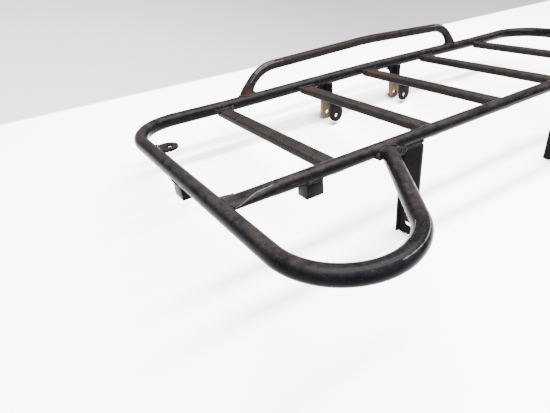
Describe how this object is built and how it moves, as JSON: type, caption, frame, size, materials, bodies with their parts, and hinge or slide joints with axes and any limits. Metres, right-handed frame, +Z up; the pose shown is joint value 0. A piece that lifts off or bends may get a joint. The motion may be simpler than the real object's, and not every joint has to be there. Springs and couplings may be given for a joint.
{
  "type": "rear cargo rack",
  "caption": "Welded tubular rear cargo rack for a quad bike, with a slatted deck, side grab loops, a raised rear rail and bolt-on brackets.",
  "frame": {"origin": "centre of the bounding box at floor level, the rack standing on its two legs and two hangers", "axes": "+X along the rails towards the rack's right end as seen from the loop side, +Y from the near rail (with the loops) towards the raised rail, +Z up; the deck slopes down towards +Y by 14.7 degrees"},
  "size_m": [1.0882, 0.5448, 0.2357],
  "materials": {
    "tube_paint": "worn gloss black paint",
    "bar_paint": "worn black paint with brown dust and rust",
    "raised_rail_paint": "worn brown-black paint, rusty at the feet",
    "bracket_paint": "worn black paint",
    "bare_hanger": "paint worn through to brown stained steel"
  },
  "bodies": {
    "root": {"far_rail_tube": "tube_paint", "left_loop_tube": "tube_paint", "right_loop_tube": "tube_paint", "near_rail": "tube_paint", "crossbar_1": "bar_paint", "crossbar_2": "bar_paint", "crossbar_3": "bar_paint", "crossbar_4": "bar_paint", "crossbar_5": "bar_paint", "raised_rail": "raised_rail_paint", "hanger_plate_left": "bare_hanger", "hanger_plate_right": "bare_hanger", "hanger_lug_left": "bracket_paint", "hanger_lug_right": "bracket_paint", "leg_left": "bracket_paint", "leg_right": "bracket_paint", "rail_block_left": "bracket_paint", "rail_block_right": "bracket_paint", "end_block_left": "bracket_paint", "end_block_right": "bracket_paint", "eye_tab_left": "bracket_paint", "eye_tab_right": "bracket_paint"}
  },
  "joints": []
}
